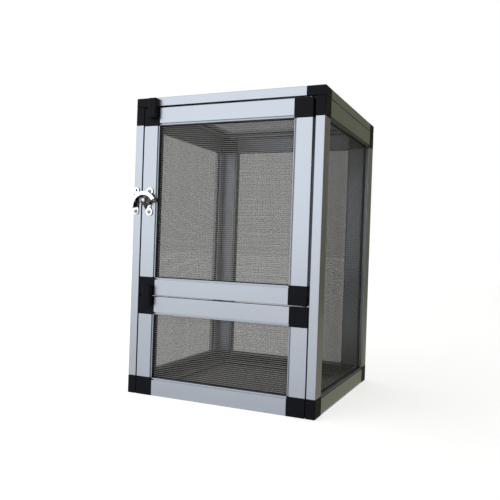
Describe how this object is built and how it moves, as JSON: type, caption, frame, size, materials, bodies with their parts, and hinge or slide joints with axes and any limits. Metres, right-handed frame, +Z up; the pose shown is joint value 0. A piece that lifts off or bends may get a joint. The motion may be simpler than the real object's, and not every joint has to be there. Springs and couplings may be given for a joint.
{
  "type": "reptile enclosure",
  "caption": "Tall cage of aluminium-framed screen panels with black corner pieces, a hinged front door over a fixed low panel, and a turning latch.",
  "frame": {"origin": "centre of the bottom of the object's box, on the surface that it stands on", "axes": "+Z up, the door looks towards -Y, +X to the right as seen from the front, where the door's pivots are"},
  "size_m": [0.3078, 0.3056, 0.457],
  "materials": {
    "aluminium": "satin anodised extrusion",
    "black_plastic": "fine matte",
    "screen_mesh": "grey woven wire screen",
    "chrome": "bright nickel plate",
    "steel": "plain drawn pin"
  },
  "bodies": {
    "cage": {"top_front_rail": "aluminium", "top_right_rail": "aluminium", "top_back_rail": "aluminium", "top_left_rail": "aluminium", "top_front_left_corner": "black_plastic", "top_front_right_corner": "black_plastic", "top_back_right_corner": "black_plastic", "top_back_left_corner": "black_plastic", "top_screen": "screen_mesh", "left_side_bottom_rail": "aluminium", "left_side_front_rail": "aluminium", "left_side_top_rail": "aluminium", "left_side_back_rail": "aluminium", "left_side_bottom_back_corner": "black_plastic", "left_side_bottom_front_corner": "black_plastic", "left_side_top_front_corner": "black_plastic", "left_side_top_back_corner": "black_plastic", "left_side_screen": "screen_mesh", "right_side_bottom_rail": "aluminium", "right_side_back_rail": "aluminium", "right_side_top_rail": "aluminium", "right_side_front_rail": "aluminium", "right_side_bottom_front_corner": "black_plastic", "right_side_bottom_back_corner": "black_plastic", "right_side_top_back_corner": "black_plastic", "right_side_top_front_corner": "black_plastic", "right_side_screen": "screen_mesh", "lower_front_bottom_rail": "aluminium", "lower_front_right_rail": "aluminium", "lower_front_top_rail": "aluminium", "lower_front_left_rail": "aluminium", "lower_front_bottom_left_corner": "black_plastic", "lower_front_bottom_right_corner": "black_plastic", "lower_front_top_right_corner": "black_plastic", "lower_front_top_left_corner": "black_plastic", "lower_front_screen": "screen_mesh", "back_frame": "aluminium", "back_screen": "screen_mesh", "floor_frame": "aluminium", "floor_screen": "screen_mesh", "latch_keeper": "chrome", "keeper_screw": "chrome"},
    "door": {"door_bottom_rail": "aluminium", "door_right_rail": "aluminium", "door_top_rail": "aluminium", "door_left_rail": "aluminium", "door_bottom_left_corner": "black_plastic", "door_bottom_right_corner": "black_plastic", "door_top_right_corner": "black_plastic", "door_top_left_corner": "black_plastic", "door_screen": "screen_mesh", "lower_pivot_pin": "steel", "upper_pivot_pin": "steel", "lower_stop_tab": "black_plastic", "upper_stop_tab": "black_plastic", "latch_base": "chrome", "latch_lower_screw": "chrome", "latch_upper_screw": "chrome", "latch_rivet": "chrome"},
    "latch_lever": {"latch_lever": "chrome"}
  },
  "joints": [
    {"name": "door_swing", "type": "hinge", "parent": "cage", "child": "door", "pos_m": [0.1316, -0.13775, 0.1538], "axis": [0, 0, 1], "range_deg": [0, 110]},
    {"name": "latch_turn", "type": "hinge", "parent": "door", "child": "latch_lever", "pos_m": [-0.13, -0.14645, 0.2995], "axis": [0, 1, 0], "range_deg": [0, 90]}
  ]
}
